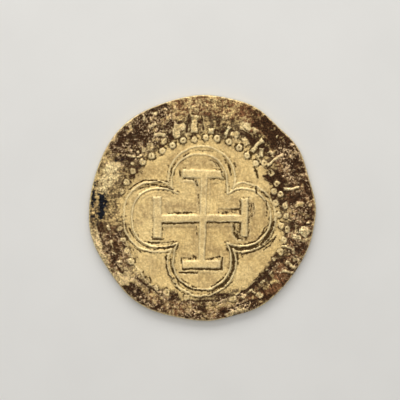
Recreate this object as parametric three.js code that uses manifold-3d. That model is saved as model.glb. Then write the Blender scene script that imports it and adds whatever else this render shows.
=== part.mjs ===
// A small hammered gold coin. It was struck by hand on a blank that was then trimmed to weight, so its
// rim is uneven and the die sits off its centre. The upper side has a cross with barred ends in a
// four-lobed double frame, a ring of beads, and a worn row of strokes in the place of the legend. The
// underside has a plain crowned shield in the same kind of border. The coin lies on its underside.
//
// Millimetres. X points right and Y up as the cross is read, and Z points out of the cross side. The
// origin is the middle of the coin's outline, in the plane that the underside's relief rests on.
import * as THREE from "three";
import { mergeVertices } from "three/addons/utils/BufferGeometryUtils.js";
import Module from "manifold-3d";

// The blank, and the places where its rim was trimmed: angle anticlockwise from +X in degrees, depth of
// the trim, and how far it spreads to each side in degrees.
const BLANK_RADIUS = 13.96;
const TRIMS = [
  { at: 17, depth: 0.73, spread: 15.5 },
  { at: 47, depth: 0.7, spread: 14 },
  { at: 75, depth: 0.38, spread: 13.5 },
  { at: 107, depth: 0.61, spread: 23.5 },
  { at: 164, depth: 0.55, spread: 25 },
  { at: 182, depth: 0.05, spread: 5 },
  { at: 214, depth: 0.5, spread: 17 },
  { at: 259, depth: 0.59, spread: 21 },
  { at: 286, depth: 0.37, spread: 10.5 },
  { at: 327, depth: 0.59, spread: 34 },
  { at: 351, depth: 0.12, spread: 6.5 },
];
const RIM_SECTORS = 120;

// Heights. The two fields are the flat grounds that the relief stands on.
const REVERSE_RELIEF = 0.18;
const FIELD_GAP = 0.62;
const OBVERSE_FIELD = REVERSE_RELIEF + FIELD_GAP;
const CROSS_RELIEF = 0.24;
const FRAME_RELIEF = 0.2;
const BEAD_RELIEF = 0.2;
const LEGEND_RELIEF = 0.16;

// The rounded rim: share of the rim's radius, and how far each face has dropped there. The last entry is
// the outermost line, half way between the fields.
const EDGE_SECTION = [
  [0.9, 0],
  [0.972, 0.06],
  [0.994, 0.16],
  [1, FIELD_GAP / 2],
];

// Raised pieces: each side leans out by DRAFT, down to SINK under the field, and a core goes on by ROOT.
const DRAFT = 0.11;
const SINK = 0.04;
const ROOT = 0.1;
const CURVE_STEPS = 6;

// The cross side's die, whose centre is the middle of the cross.
const DIE_CENTRE = [0, -1.27];
const CROSS_BARS = {
  upright: { from: [-0.14, -5.3], to: [0.22, 5.2], width: 0.95 },
  crossing: { from: [-5.2, 0], to: [5, 0], width: 0.84 },
  topEnd: { from: [-2.42, 5.38], to: [2.58, 5.3], width: 0.92 },
  footEnd: { from: [-2.4, -5.47], to: [2.12, -5.47], width: 0.94 },
  leftEnd: { from: [-5.3, -2.38], to: [-5.4, 2.48], width: 0.84 },
  rightEnd: { from: [4.98, -2.28], to: [5.12, 2.58], width: 0.72 },
};

// The frame's two lines. A lobe's reach is the distance of its far side from the die's centre. Its two
// half widths, clockwise side first, differ because the blank slipped between blows. The lobes are the
// right, top, left and foot ones, and they meet in cusps at the same distance along X and Y.
const FRAME_LINE_WIDTH = 0.24;
const FRAME_LINES = [
  {
    cusp: 2.94,
    lobes: [
      { reach: 8.24, halves: [3.24, 3.48] },
      { reach: 7.66, halves: [3.02, 3.52] },
      { reach: 8.36, halves: [3.48, 3.29] },
      { reach: 8.16, halves: [3.33, 3.25] },
    ],
  },
  {
    cusp: 3.64,
    lobes: [
      { reach: 8.7, halves: [4, 4.24] },
      { reach: 8.5, halves: [3.88, 4.06] },
      { reach: 9.15, halves: [4.32, 3.9] },
      { reach: 8.88, halves: [4.1, 3.75] },
    ],
  },
];
const LOBE_ARC_STEPS = 12;

// Runs of beads, by clock angle from the top of the coin. On the right the ring was struck twice.
const BEAD_CENTRE = [0, -1.45];
const BEAD_PITCH = 360 / 44;
const BEAD_RUNS = [
  { first: -168.9, pitch: BEAD_PITCH, count: 25, radius: 9.78 },
  { first: 35.6, pitch: BEAD_PITCH, count: 8, radius: 9.15 },
  { first: 47.2, pitch: BEAD_PITCH, count: 7, radius: 9.93 },
  { first: 104.4, pitch: BEAD_PITCH, count: 10, radius: 10.03 },
  { first: -36.8, pitch: 6.2, count: 3, radius: 13.95 },
];
const BEAD_RADIUS = 0.41;
const BEAD_SIDES = 8;

// The legend: one mark for each of fifty even steps clockwise, ten to a line. A mark is a bar between two
// places, each given as a share of the step and a share of the band's height. "." is a bead and "_" is a
// step that is worn away.
const LEGEND = ["|._\\_-|_.!", "_-!,|__|__", "/_!||__|__", "___.____-_", "__,_______"].join("");
const LEGEND_FIRST = -49.9;
const LEGEND_BAND = [10.2, 12.3];
const LEGEND_WIDTH = 0.36;
const LEGEND_BEAD_RADIUS = 0.45;
const MARKS = {
  "|": { from: [0, 0.05], to: [0, 1] },
  "!": { from: [0, -0.1], to: [0, 0.7] },
  ",": { from: [0.1, 0.05], to: [-0.1, 0.5] },
  "/": { from: [-0.28, 0.05], to: [0.28, 1] },
  "\\": { from: [0.28, 0.05], to: [-0.28, 1] },
  "-": { from: [-0.35, 0.92], to: [0.35, 0.92] },
};
const RIM_MARGIN = 0.25;

// The underside's die, read with its own X to the right.
const SHIELD = { centre: [0.25, -0.6], halfWidth: 3.5, top: 3.9, shoulder: -0.9, belly: -3.4, point: -4.7 };
const SHIELD_LINE_WIDTH = 0.5;
const SHIELD_GAP = 0.55;
const CROWN = { base: 4.6, height: 1.6, halfWidth: 3.2, bandHeight: 0.6, points: 3 };
const REVERSE_BEAD_CENTRE = [0.2, -0.1];
const REVERSE_BEAD_RUN = { first: 0, pitch: 9, count: 40, radius: 9.7 };
const REVERSE_LEGEND = ["|_/_-__|._", "\\__|__-_|_", "_/_._|__\\_", "|__-__|_._", "_|__/__|__"].join("");
const REVERSE_LEGEND_BAND = [10.5, 12.3];

const radians = THREE.MathUtils.degToRad;
const wasm = await Module();
wasm.setup();

// The rim's radius about the blank's own centre, at an angle in degrees.
function blankRadius(angle) {
  let radius = BLANK_RADIUS;
  for (const { at, depth, spread } of TRIMS) {
    const away = THREE.MathUtils.euclideanModulo(angle - at + 180, 360) - 180;
    radius -= depth * Math.exp(-((away / spread) ** 2));
  }
  return radius;
}

// The rim as one turn of points, moved so that the middle of its outline is the origin.
function rimPoints() {
  const points = [];
  for (let i = 0; i < RIM_SECTORS; i++) {
    const angle = (360 * i) / RIM_SECTORS;
    const direction = new THREE.Vector2(Math.cos(radians(angle)), Math.sin(radians(angle)));
    points.push(direction.multiplyScalar(blankRadius(angle)));
  }
  const middle = new THREE.Box2().setFromPoints(points).getCenter(new THREE.Vector2());
  return points.map((point) => point.sub(middle));
}

// A closed geometry as a solid that can be joined and cut.
function solid(geometry) {
  const bare = geometry.clone();
  bare.deleteAttribute("normal");
  bare.deleteAttribute("uv");
  const merged = mergeVertices(bare, 1e-4);
  const vertProperties = new Float32Array(merged.attributes.position.array);
  const triVerts = new Uint32Array(merged.index.array);
  return new wasm.Manifold(new wasm.Mesh({ numProp: 3, vertProperties, triVerts }));
}

// The trimmed blank: rings of points from the underside's centre round the rim to the upper centre.
function blank(rim) {
  const under = EDGE_SECTION.map(([share, drop]) => [share, REVERSE_RELIEF + drop]);
  const upper = EDGE_SECTION.slice(0, -1).reverse().map(([share, drop]) => [share, OBVERSE_FIELD - drop]);
  const rings = [...under, ...upper];
  const positions = [0, 0, REVERSE_RELIEF];
  for (const [share, z] of rings) {
    for (const point of rim) positions.push(point.x * share, point.y * share, z);
  }
  positions.push(0, 0, OBVERSE_FIELD);
  const lastCentre = 1 + rings.length * rim.length;
  const faces = [];
  for (let i = 0; i < rim.length; i++) {
    const next = (i + 1) % rim.length;
    faces.push(0, 1 + next, 1 + i);
    for (let ring = 0; ring < rings.length - 1; ring++) {
      const low = 1 + ring * rim.length;
      const high = low + rim.length;
      faces.push(low + i, low + next, high + next, low + i, high + next, high + i);
    }
    const top = lastCentre - rim.length;
    faces.push(top + i, top + next, lastCentre);
  }
  const geometry = new THREE.BufferGeometry();
  geometry.setAttribute("position", new THREE.Float32BufferAttribute(positions, 3));
  geometry.setIndex(faces);
  return solid(geometry);
}

// A flat-topped raised piece with leaning sides. Its shape is its top, at the given height over z = 0.
// The bevel at its other end is hidden in the blank.
function raised(shape, height) {
  const geometry = new THREE.ExtrudeGeometry(shape, {
    depth: ROOT,
    bevelThickness: height + SINK,
    bevelSize: DRAFT,
    bevelSegments: 1,
    curveSegments: CURVE_STEPS,
  });
  return solid(geometry.translate(0, 0, -ROOT - SINK));
}

// A straight raised bar between two points.
function bar({ from, to, width }, height) {
  const start = new THREE.Vector2(...from);
  const end = new THREE.Vector2(...to);
  const side = end.clone().sub(start).normalize().rotateAround(new THREE.Vector2(), Math.PI / 2);
  side.multiplyScalar(width / 2);
  const corners = [
    start.clone().sub(side),
    end.clone().sub(side),
    end.clone().add(side),
    start.clone().add(side),
  ];
  return raised(new THREE.Shape(corners), height);
}

// A bead: a low dome with a flat crown.
function bead([x, y], radius, height) {
  const profile = [
    [0, -SINK],
    [radius, -SINK],
    [radius * 0.88, height * 0.55],
    [radius * 0.5, height],
    [0, height],
  ];
  const points = profile.map(([r, z]) => new THREE.Vector2(r, z));
  const geometry = new THREE.LatheGeometry(points, BEAD_SIDES);
  return solid(geometry.rotateX(Math.PI / 2).translate(x, y, 0));
}

// A place at a clock angle and radius about a centre.
function onClock([x, y], angle, radius) {
  return [x + radius * Math.sin(radians(angle)), y + radius * Math.cos(radians(angle))];
}

function beadRun(centre, { first, pitch, count, radius }) {
  const beads = [];
  for (let i = 0; i < count; i++) {
    beads.push(bead(onClock(centre, first + pitch * i, radius), BEAD_RADIUS, BEAD_RELIEF));
  }
  return beads;
}

// The legend's marks, spaced evenly round a band between two radii about a centre.
function legend(marks, centre, first, [inner, outer]) {
  const step = 360 / marks.length;
  const place = (i, [along, up]) =>
    onClock(centre, first + (i + along) * step, THREE.MathUtils.lerp(inner, outer, up));
  return [...marks].flatMap((mark, i) => {
    if (mark === "_") return [];
    if (mark === ".") return [bead(place(i, [0, 0.2]), LEGEND_BEAD_RADIUS, LEGEND_RELIEF)];
    const { from, to } = MARKS[mark];
    return [bar({ from: place(i, from), to: place(i, to), width: LEGEND_WIDTH }, LEGEND_RELIEF)];
  });
}

// One lobe of the frame, as points along +X from cusp to cusp: a drawn-in side, a half round, and the
// other side. The last cusp is left to the next lobe.
function lobe({ reach, halves }, cusp) {
  const [clockwise, anticlockwise] = halves;
  const radius = (clockwise + anticlockwise) / 2;
  const middle = new THREE.Vector2(reach - radius, (anticlockwise - clockwise) / 2);
  const points = [new THREE.Vector2(cusp, -cusp)];
  const drawnIn = (y) => new THREE.Vector2(THREE.MathUtils.lerp(cusp, middle.x, 0.45), y);
  points.push(drawnIn(THREE.MathUtils.lerp(-cusp, -clockwise, 0.75)));
  for (let i = 0; i <= LOBE_ARC_STEPS; i++) {
    const turn = Math.PI * (i / LOBE_ARC_STEPS - 0.5);
    points.push(new THREE.Vector2(Math.cos(turn), Math.sin(turn)).multiplyScalar(radius).add(middle));
  }
  points.push(drawnIn(THREE.MathUtils.lerp(cusp, anticlockwise, 0.75)));
  return points;
}

// The closed outline of four lobes, grown outwards by a distance.
function fourLobes({ cusp, lobes }, grown) {
  return lobes.flatMap(({ reach, halves }, quarter) => {
    const wider = { reach: reach + grown, halves: halves.map((half) => half + grown) };
    const turn = (quarter * Math.PI) / 2;
    return lobe(wider, cusp + grown).map((point) => point.rotateAround(new THREE.Vector2(), turn));
  });
}

function frameLine(line) {
  const shape = new THREE.Shape(fourLobes(line, FRAME_LINE_WIDTH / 2));
  shape.holes.push(new THREE.Path(fourLobes(line, -FRAME_LINE_WIDTH / 2)));
  return raised(shape, FRAME_RELIEF);
}

// The shield's outline, shrunk by a distance: flat top, upright sides, and two curves to its point.
function shieldOutline(shrunk) {
  const x = SHIELD.halfWidth - shrunk;
  const belly = SHIELD.belly + shrunk;
  const shape = new THREE.Shape();
  shape.moveTo(-x, SHIELD.top - shrunk);
  shape.lineTo(-x, SHIELD.shoulder);
  shape.quadraticCurveTo(-x, belly, 0, SHIELD.point + shrunk);
  shape.quadraticCurveTo(x, belly, x, SHIELD.shoulder);
  shape.lineTo(x, SHIELD.top - shrunk);
  shape.closePath();
  return shape;
}

// The shield: a raised line round four flat panels.
function shield() {
  const border = shieldOutline(0);
  border.holes.push(shieldOutline(SHIELD_LINE_WIDTH));
  const gap = (width, height) =>
    solid(new THREE.BoxGeometry(width, height, FIELD_GAP).translate(0, 0, FIELD_GAP / 2));
  const length = SHIELD.top - SHIELD.point;
  const panels = raised(shieldOutline(SHIELD_LINE_WIDTH + SHIELD_GAP), REVERSE_RELIEF)
    .subtract(gap(SHIELD_GAP, 2 * length))
    .subtract(gap(2 * length, SHIELD_GAP));
  return raised(border, REVERSE_RELIEF).add(panels);
}

// The crown over the shield: a band, and pointed leaves side by side on it.
function crown() {
  const { base, height, halfWidth, bandHeight, points } = CROWN;
  const outline = [
    [-halfWidth * 0.8, base],
    [halfWidth * 0.8, base],
  ];
  for (let i = points - 1; i >= 0; i--) {
    const across = (share) => halfWidth * ((2 * (i + share)) / points - 1);
    outline.push([across(0.9), base + bandHeight]);
    outline.push([across(0.5), base + height]);
    outline.push([across(0.1), base + bandHeight]);
  }
  return raised(new THREE.Shape(outline.map(([x, y]) => new THREE.Vector2(x, y))), REVERSE_RELIEF);
}

// The relief of the cross side, standing on z = 0.
function crossSide() {
  const [x, y] = DIE_CENTRE;
  const bars = Object.values(CROSS_BARS).map((one) => bar(one, CROSS_RELIEF));
  const device = [...bars, ...FRAME_LINES.map(frameLine)].map((piece) => piece.translate([x, y, 0]));
  const beads = BEAD_RUNS.flatMap((run) => beadRun(BEAD_CENTRE, run));
  return [...device, ...beads, ...legend(LEGEND, DIE_CENTRE, LEGEND_FIRST, LEGEND_BAND)];
}

// The relief of the shield side, standing on z = 0.
function shieldSide() {
  const [x, y] = SHIELD.centre;
  const device = [shield(), crown()].map((piece) => piece.translate([x, y, 0]));
  const beads = beadRun(REVERSE_BEAD_CENTRE, REVERSE_BEAD_RUN);
  const marks = legend(REVERSE_LEGEND, REVERSE_BEAD_CENTRE, 0, REVERSE_LEGEND_BAND);
  const sunk = BEAD_RELIEF - REVERSE_RELIEF;
  return [...device, ...beads.map((piece) => piece.translate([0, 0, -sunk])), ...marks];
}

// An upright prism just inside the rim, which relief is cut to.
function insideRim(rim) {
  const points = rim.map((point) => point.clone().multiplyScalar(1 - RIM_MARGIN / BLANK_RADIUS));
  const geometry = new THREE.ExtrudeGeometry(new THREE.Shape(points), { depth: 2, bevelEnabled: false });
  return solid(geometry.translate(0, 0, -1));
}

// The coin: the blank, with each side's relief struck on it.
function coin() {
  const rim = rimPoints();
  const cutter = insideRim(rim);
  const struck = (pieces) => wasm.Manifold.union(pieces).intersect(cutter);
  const upper = struck(crossSide()).translate([0, 0, OBVERSE_FIELD]);
  const under = wasm.Manifold.union(shieldSide())
    .rotate([180, 0, 0])
    .intersect(cutter)
    .translate([0, 0, REVERSE_RELIEF]);
  const { vertProperties, triVerts } = blank(rim).add(upper).add(under).getMesh();
  const geometry = new THREE.BufferGeometry();
  geometry.setAttribute("position", new THREE.BufferAttribute(vertProperties, 3));
  geometry.setIndex(new THREE.BufferAttribute(triVerts, 1));
  geometry.computeVertexNormals();
  const wornGold = new THREE.MeshStandardMaterial({ color: 0xcdb177, roughness: 0.42, metalness: 1 });
  const mesh = new THREE.Mesh(geometry, wornGold);
  mesh.name = "coin";
  return mesh;
}

const group = new THREE.Group();
group.add(coin());

export default group;
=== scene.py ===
"""A small hammered gold coin, worn and crusted, lying on a plain pale floor.

The coin is one mesh. Each face is a raster of heights, in millimetres, on which the device, the beads
and the border's strokes are struck, worn and scratched. A disc of vertices then takes its heights from
the raster, together with masks for dirt in low places with painted shade below the relief, for edges
rubbed bright with a painted highlight, and for the crust in the border with bright specks painted as glints.
"""

import math

import bpy
import numpy as np
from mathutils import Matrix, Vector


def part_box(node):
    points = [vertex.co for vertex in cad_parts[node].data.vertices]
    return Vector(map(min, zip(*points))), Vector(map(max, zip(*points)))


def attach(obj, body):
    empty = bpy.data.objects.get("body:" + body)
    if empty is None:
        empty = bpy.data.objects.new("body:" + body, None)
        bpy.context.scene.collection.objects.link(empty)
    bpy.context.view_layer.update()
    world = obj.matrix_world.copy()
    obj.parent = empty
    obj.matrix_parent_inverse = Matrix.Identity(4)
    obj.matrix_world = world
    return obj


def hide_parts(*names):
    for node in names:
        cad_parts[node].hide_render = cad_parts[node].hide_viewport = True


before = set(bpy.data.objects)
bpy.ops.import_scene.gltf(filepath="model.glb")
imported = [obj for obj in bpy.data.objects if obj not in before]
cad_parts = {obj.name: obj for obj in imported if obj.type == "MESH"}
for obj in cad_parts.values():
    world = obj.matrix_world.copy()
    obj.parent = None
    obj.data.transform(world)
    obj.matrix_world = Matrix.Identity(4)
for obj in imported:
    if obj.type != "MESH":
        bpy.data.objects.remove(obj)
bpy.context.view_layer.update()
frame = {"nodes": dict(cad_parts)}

bl_info = {
    "name": "Hammered Gold Coin",
    "version": (1, 0, 0),
    "blender": (4, 5, 0),
    "location": "View3D > Sidebar > Coin",
    "description": "A worn hammered gold coin on a plain floor",
    "category": "Add Mesh",
}

MM = 0.001
NODE = "coin"
SEED = 1556

# The photograph's frame: its width in pixels, the middle of the coin in it, and the size of a pixel.
# The camera's sensor is as wide as that frame.
PHOTO_WIDTH_PX = 400
COIN_MIDDLE_PX = (202.45, 207.88)
PIXEL_MM = 0.119
SENSOR_WIDTH = 36

# The stage, in metres: half the floor's side, and each light's place and size.
FLOOR_HALF = 0.4
LIGHTS = {"key": ((-0.03, 0.28, 0.17), (0.5, 0.18)), "fill": ((0, 0.05, 0.4), (0.36, 0.36))}

# The raster of one face: half its side and the size of a cell, in millimetres.
PLATE_HALF = 14.4
CELL = 0.05
FACE_CELLS = {"upper": 256, "under": 160}

# The rim: how far each face drops to the edge's upright band, over a rounded corner and a long slope,
# how wide the painted highlight along it is, how near it the cells crowd, and over what width the relief
# fades out.
RIM_CORNER = {"drop": 0.2, "width": 0.12}
RIM_SLOPE = {"drop": 0.04, "width": 0.9}
RIM_HIGHLIGHT = 0.14
RIM_CROWDING = 0.06
RIM_FADE = 0.35

# How far the solid's top stands over its upper field, and how ragged wear has left the relief's sides.
SOLID_RELIEF = 0.24
RAGGED = {"middle": 0.022, "border": 0.065, "size": 0.6}

# The border begins between two distances from the middle, one pair for each effect that comes in there.
BORDER = {"ragged": (8.8, 10.4), "specks": (9.9, 10.6), "grit": (8.8, 10.8), "rubbed": (8.8, 9.6)}

# The cross side's device, from the die's centre. Bars run from end to end, with their width.
DIE_CENTRE = (0, -1.27)
CROSS_BARS = (
    ((-0.12, -5.3), (0.2, 5.2), 0.84), ((-5.2, -0.02), (5, 0), 0.88), ((-2.42, 5.34), (2.52, 5.26), 1),
    ((-2.4, -5.47), (2.12, -5.47), 0.94), ((-5.35, -2.32), (-5.4, 2.6), 0.98),
    ((4.94, -2.15), (5.06, 2.4), 0.78),
)
# The blank slipped between blows, so the device has a faint first strike beside it.
FIRST_STRIKE = {"offset": (-0.36, -0.54), "share": 0.24}
# How wide the leaning sides of the relief are.
SIDES = {"bar": 0.18, "line": 0.16, "cross": 0.22, "frame": 0.26, "shield": 0.24}

# The frame's lines: cusp, then the right, top, left and foot lobes as reach and the two half widths.
FRAME_LINES = (
    (2.94, ((8.16, 3.3, 3.6), (7.7, 2.95, 3.72), (8.42, 3.6, 3.4), (8.5, 3.53, 3.4))),
    (3.64, ((8.7, 3.98, 4.3), (8.6, 3.88, 4.1), (9.4, 4.42, 3.95), (9.2, 4.2, 3.98))),
)
LOBE_STEPS = 20
# How far out and how far in the neck of each lobe is drawn, as shares.
LOBE_NECK = {"out": 0.45, "in": 0.75}
# How square each lobe is: 1 for a half round, less for one with fuller shoulders.
LOBE_FULLNESS = (1, 0.97, 0.86, 1)

# Beads: clock angle and distance about the ring's centre, then how much of the bead is left.
BEAD_CENTRE = (0, -1.45)
BEADS = (
    (-168.5, 9.38, 0.5), (-153.3, 9.62, 0.6), (-145.8, 9.78, 0.7), (-137.5, 9.8, 0.25),
    (-129, 9.8, 0.35), (-120.6, 9.78, 1), (-112, 9.79, 0.75), (-103.8, 9.79, 0.85),
    (-95.8, 9.87, 0.55), (-70.5, 10.26, 0.45), (-63.6, 10.13, 0.75), (-54.8, 10.13, 0.8),
    (-46, 9.91, 1), (-38.4, 9.73, 0.95), (-30.2, 9.54, 0.9), (-21.8, 9.6, 1.1),
    (-13.8, 9.75, 1.05), (-5.6, 9.6, 0.75), (2.3, 9.82, 0.9), (10.4, 9.88, 0.95),
    (18.6, 9.82, 0.9), (26.9, 9.66, 1), (34.7, 9.33, 0.95), (43.5, 9.29, 0.85),
    (68.2, 9.2, 0.75), (76.9, 8.96, 0.8), (86, 9.09, 0.75), (94, 9.39, 0.7),
    (47.1, 10.03, 0.7), (55.6, 9.91, 0.8), (64.1, 9.88, 0.75), (71.5, 9.83, 0.85),
    (80.4, 10.01, 1), (87.5, 9.97, 0.8), (96.3, 10.09, 0.85), (104.2, 9.97, 0.9),
    (111.8, 10.04, 0.85), (118.6, 9.89, 0.85), (127.2, 10.03, 0.8), (135.2, 10.14, 0.6),
    (151.3, 10.23, 0.7), (159.1, 10.15, 0.6),
)
# How small a worn bead gets, how deep and wide its crown is pressed in, and the ring of dirt round it.
BEAD_LEAST = 0.86
BEAD_DISH = {"depth": 0.5, "width": 0.32}
BEAD_DIRT = {"radius": 1.12, "width": 0.16, "strength": 0.95, "below": 0.06}

# The border's strokes: width, how high, then points by clock angle and distance about the die's centre.
STROKES = (
    (0.24, 0.9, (-50, 11.6), (-47, 10.95)), (0.3, 0.7, (-52.5, 10.9), (-51.4, 10.5)),
    (0.26, 1.1, (-46.8, 10.7), (-44.2, 10.42)), (0.2, 0.9, (-45.2, 11), (-43.8, 10.9)),
    (0.36, 1.1, (-30.9, 12.5), (-25.8, 12.6)), (0.46, 1.2, (-30, 11.55), (-23.4, 10.85)),
    (0.7, 0.5, (-28, 10.35), (-24.6, 10.25)), (0.3, 0.8, (-31.6, 13.5), (-29.4, 13.9)),
    (0.3, 0.8, (-25.6, 13.95), (-23.4, 13.6)), (0.6, 0.5, (-41.5, 10.5), (-40, 11)),
    (0.9, 0.5, (-38, 10.2), (-35, 10.9)), (0.9, 0.55, (-17.2, 10.5), (-15.5, 11.3), (-12.5, 11.2)),
    (0.75, 0.8, (-5.6, 10.3), (-4, 12.3)), (0.62, 1, (4.2, 10.5), (7.6, 10.45)),
    (0.5, 0.4, (11, 12.2), (14, 12.4)), (0.7, 0.5, (24.5, 12.4), (29, 12.1)),
    (0.5, 0.4, (29, 12.1), (32.5, 12.3)), (0.34, 1.2, (15.2, 10.35), (17.1, 11.5)),
    (0.5, 0.9, (15.4, 10.25), (16.6, 10.25)), (0.95, 0.45, (20.5, 10.4), (22, 11.2)),
    (0.95, 0.45, (28, 10.3), (30, 10.8)), (0.46, 1.1, (36.4, 9.9), (37.2, 11.9)),
    (0.42, 1, (40.2, 11), (43.6, 10.15)), (0.36, 1.2, (46.3, 11.45), (47.3, 11.2)),
    (0.26, 1, (48.4, 11.25), (48.8, 11.1)), (0.22, 1, (44.8, 11.3), (45.1, 11.2)),
    (0.26, 1, (42.1, 13.35), (42.6, 13.2)), (0.34, 0.9, (50.4, 9.9), (51.2, 12.3)),
    (0.34, 1.2, (70.2, 10.35), (72.4, 12.2)), (0.7, 0.5, (81, 11.3), (82.6, 12.2)),
    (0.32, 1.1, (92.6, 12.9), (92.9, 12.45)), (0.3, 1.1, (91.3, 10.45), (91.8, 10.4)),
    (0.95, 0.9, (96.2, 11.8), (98.7, 12.8)), (0.5, 0.8, (100.6, 12), (101.4, 10.9)),
    (0.24, 1, (108.5, 9.95), (109.4, 11.4)), (0.3, 0.9, (106.8, 11.3), (110.4, 11.6)),
    (0.7, 0.6, (111.2, 11.8), (114.4, 12.3)), (0.42, 1.1, (117.3, 11.1), (118, 12.6)),
    (0.34, 1, (121, 12.5), (123.2, 11.3)), (0.55, 1, (143, 11.7), (144.4, 11.1)),
    (0.28, 1, (144.6, 11), (145.4, 10.3)), (0.22, 0.9, (145.6, 10.3), (150, 10.22)),
    (0.3, 0.8, (151.2, 10.8), (152.8, 10.5)), (0.2, 0.9, (153.4, 10), (157.4, 9.95)),
    (0.22, 0.8, (163, 9.95), (169.5, 10.1)), (0.5, 0.7, (154.5, 12), (160, 11.75), (166, 11.85)),
    (0.3, 0.8, (241.5, 10.75), (243.5, 11.5)), (0.3, 0.9, (247.6, 11.15), (249.4, 11.5)),
    (0.22, 0.9, (252.3, 11.15), (257, 11.1)), (0.35, 0.8, (262.3, 11.1), (265.6, 11.35)),
    (0.14, 0.5, (253, 9.6), (241, 9.55), (226, 9.87), (211, 10.4)),
)

# Marks of double striking, wear and use: width, height (below 0 a cut), then points in the coin's X and Y.
MARKS = (
    (0.14, 0.05, (8.68, -3.22), (7.94, -4.04), (7.19, -4.71)), (0.12, -0.12, (6.4, 2.42), (6.44, 1.54)),
    (0.07, -0.05, (1.17, 5.63), (2.29, 4.29)), (0.14, -0.07, (-6.36, -4.19), (-4.94, -4.19)),
    (0.18, -0.09, (-2.39, 3.4), (-0.84, 3.4), (-0.54, 2.3)), (0.12, -0.08, (-2.74, -7.75), (-0.54, -7.8)),
    (0.14, -0.07, (2.35, -5.97), (2.35, -7.45)), (0.42, -0.1, (3.75, -1.9), (3.8, -2.9), (4.3, -3.7)),
    (0.12, -0.07, (5.54, 1.23), (5.5, -3.41)), (0.1, -0.05, (6.1, 0.5), (6.15, -0.9)),
    (0.3, -0.06, (1.95, -0.22), (4.3, -0.34)), (0.34, 0.035, (0.8, 3.3), (0.68, -0.4)),
)

# Crust, by clock angle and distance about the die's centre: from, to, inner, outer, share covered.
# RIM lies past the blank's edge all round.
RIM = 16
CRUST = {
    "grime": (
        (0, 20, 10.6, 12.5, 0.5), (8, 20, 9.8, 11.2, 0.45), (20, 37, 10.9, 11.9, 0.8),
        (36, 62, 9.8, 11.2, 0.45), (54, 76, 9, 11.1, 1), (76, 90, 9.1, 11.3, 0.65),
        (90, 110, 9.6, 11.2, 0.55), (110, 152, 9.8, 11, 0.6), (150, 182, 9.3, 10.3, 0.4),
        (182, 232, 9.6, 10.9, 0.4), (232, 270, 9.7, 12.6, 0.62), (270, 300, 10.2, 12, 0.4),
        (300, 318, 9.8, 11.6, 0.5), (318, 341, 9.9, 11.5, 0.6), (341, 360, 10.2, 12.3, 0.45),
        (262, 282, 12.8, RIM, 0.5),
    ),
    "rust": (
        (350, 380, 12.2, RIM, 0.35), (18, 40, 12.2, RIM, 0.6), (44, 72, 10.9, RIM, 0.5),
        (72, 92, 10.4, 14, 0.7), (88, 121, 10.4, RIM, 0.55), (119, 144, 10.9, 12.8, 0.95),
        (142, 154, 10.2, RIM, 0.6), (158, 178, 10.9, 12.4, 0.55), (184, 199, 10.2, 12.4, 0.5),
        (199, 216, 10.4, 12.4, 0.4), (327, 350, 12.4, RIM, 0.4), (238, 266, 10.2, 12.2, 0.35),
    ),
    "umber": (
        (354, 380, 10.2, 10.9, 0.25), (5, 20, 9.8, 11.9, 0.35), (354, 380, 11.6, 12.3, 0.36),
        (-2, 16, 13.5, RIM, 0.2), (19, 30, 11, 11.6, 0.4), (24, 33, 13.1, RIM, 0.7),
        (29, 42, 10.3, 12.4, 0.7), (28, 50, 12.6, RIM, 0.9), (37, 50, 10.9, RIM, 0.85),
        (40, 48, 11.5, 12.7, 1.1), (48, 60, 9.1, 10.4, 0.45), (48, 60, 10.4, 11.6, 0.25),
        (48, 62, 11.6, RIM, 0.8), (55, 74, 8.8, 10.9, 0.95), (60, 70, 10.9, RIM, 0.6),
        (68, 81, 9, 10.4, 0.6), (68, 88, 10.6, 12.6, 0.66), (68, 80, 12.7, RIM, 1), (76, 87, 9, 10.2, 0.5),
        (82, 92, 10.9, 12.9, 0.75), (82, 90, 13, RIM, 0.95), (88, 102, 9.9, 12, 0.66),
        (88, 104, 12, RIM, 0.75), (98, 112, 9.8, 11.2, 0.48), (98, 112, 11.4, RIM, 0.55),
        (112, 152, 9.8, 10.8, 0.64), (112, 122, 11.6, RIM, 0.9), (117, 152, 12, RIM, 0.68),
        (142, 152, 11, 12.5, 0.6), (146, 162, 11.1, RIM, 1), (160, 181, 9.2, 10.2, 0.38),
        (160, 181, 11, RIM, 0.54), (169, 181, 9.8, 10.5, 0.6), (176, 194, 11.6, RIM, 1.1),
        (176, 190, 10.9, 11.6, 0.7), (180, 206, 9.7, 10.5, 0.6), (197, 210, 10.4, RIM, 0.45),
        (203, 228, 11.6, RIM, 1.1), (215, 229, 10.3, 10.9, 0.42), (228, 240, 10.9, 11.5, 0.2),
        (238, 266, 9.8, 11.2, 0.5), (238, 262, 11, 11.9, 0.66), (240, 268, 9, 9.8, 0.2),
        (250, 268, 11, 12.4, 0.62), (284, 300, 9, 10.9, 0.25), (290, 300, 13.3, RIM, 0.35),
        (298, 312, 9.2, 12.4, 0.42), (300, 312, 12.4, RIM, 0.2), (306, 331, 10.8, RIM, 0.9),
        (308, 320, 9.4, 10.4, 0.35), (325, 345, 9.6, 11.2, 0.7), (325, 345, 11.3, 12.3, 0.9),
        (325, 343, 12.5, RIM, 1.05), (177, 187, 10.4, 12.6, 0.6), (303, 310, 11.2, 12.6, 0.6),
        (211, 227, 11.4, RIM, 1.1), (172, 190, 11.5, RIM, 0.95), (342, 352, 10.3, 12, 0.36),
        (347, 358, 9.4, 12, 0.42),
    ),
    "soot": (
        (269, 286, 11.7, 12.8, 0.75), (270, 290, 13.1, RIM, 0.55), (303, 310, 11.2, 12.6, 0.2),
    ),
}
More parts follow.
